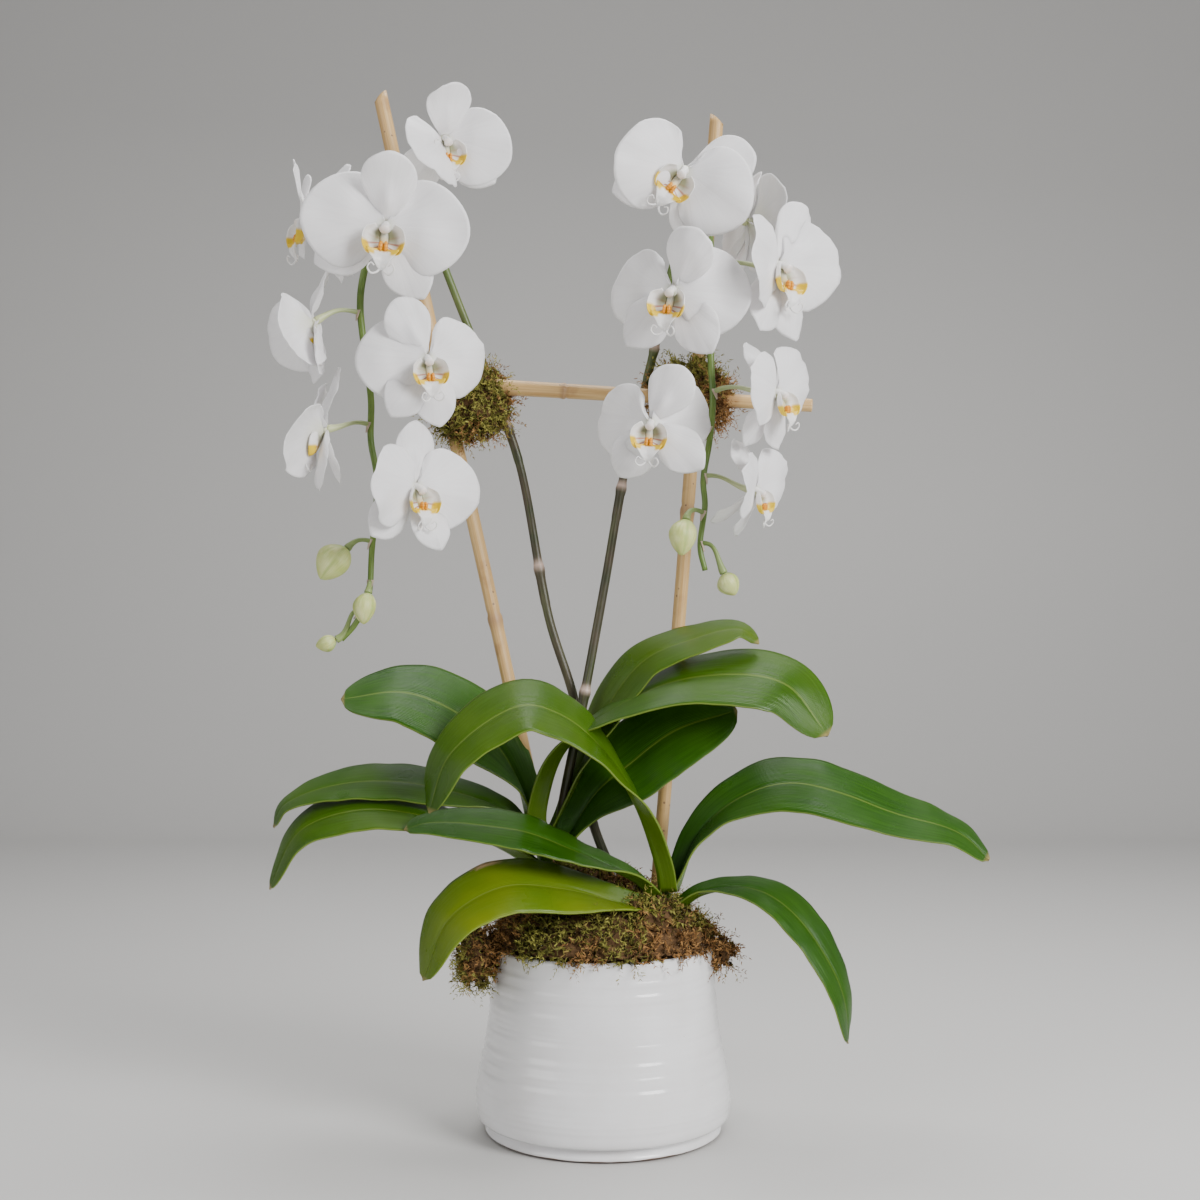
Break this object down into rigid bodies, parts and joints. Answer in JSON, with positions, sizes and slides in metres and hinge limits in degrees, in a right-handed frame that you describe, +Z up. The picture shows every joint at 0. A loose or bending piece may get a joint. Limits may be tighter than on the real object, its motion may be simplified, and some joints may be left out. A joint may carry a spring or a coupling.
{
  "type": "potted orchid",
  "caption": "White moth orchid planting in a white glazed pot, with arching flower spikes held to a bamboo frame.",
  "frame": {"origin": "centre of the pot's flat foot, on the surface that it stands on", "axes": "+Z up along the plant, -Y towards the front that the flowers face, +X to the right seen from the front"},
  "size_m": [0.4467, 0.198, 0.6644],
  "materials": {
    "glaze": "gloss",
    "bark": "matte",
    "moss": "matte",
    "bamboo": "satin",
    "crown": "satin",
    "leaf": "satin",
    "stem": "satin",
    "petal": "matte",
    "lip": "satin",
    "bud": "satin"
  },
  "bodies": {
    "root": {"pot": "glaze", "potting_bark": "bark", "moss_top": "moss", "moss_wrap_left": "moss", "moss_wrap_right": "moss", "bamboo_stake_left": "bamboo", "bamboo_stake_right": "bamboo", "bamboo_crossbar": "bamboo", "crown_left": "crown", "crown_right": "crown", "leaf_left_arching_right": "leaf", "leaf_left_back_right": "leaf", "leaf_left_low_right": "leaf", "leaf_left_upper": "leaf", "leaf_left_middle": "leaf", "leaf_left_lower": "leaf", "leaf_right_arching_left": "leaf", "leaf_right_side": "leaf", "leaf_right_long_left": "leaf", "leaf_right_front": "leaf", "leaf_right_low": "leaf", "flower_spike_left": "stem", "flower_spike_right": "stem", "flower_left_1_petals": "petal", "flower_left_2_petals": "petal", "flower_left_3_petals": "petal", "flower_left_4_petals": "petal", "flower_left_5_petals": "petal", "flower_left_6_petals": "petal", "flower_left_7_petals": "petal", "flower_right_1_petals": "petal", "flower_right_2_petals": "petal", "flower_right_3_petals": "petal", "flower_right_4_petals": "petal", "flower_right_5_petals": "petal", "flower_right_6_petals": "petal", "flower_right_7_petals": "petal", "flower_left_1_lip": "lip", "flower_left_2_lip": "lip", "flower_left_3_lip": "lip", "flower_left_4_lip": "lip", "flower_left_5_lip": "lip", "flower_left_6_lip": "lip", "flower_left_7_lip": "lip", "flower_right_1_lip": "lip", "flower_right_2_lip": "lip", "flower_right_3_lip": "lip", "flower_right_4_lip": "lip", "flower_right_5_lip": "lip", "flower_right_6_lip": "lip", "flower_right_7_lip": "lip", "bud_left_1": "bud", "bud_left_2": "bud", "bud_left_3": "bud", "bud_right_1": "bud", "bud_right_2": "bud"}
  },
  "joints": []
}
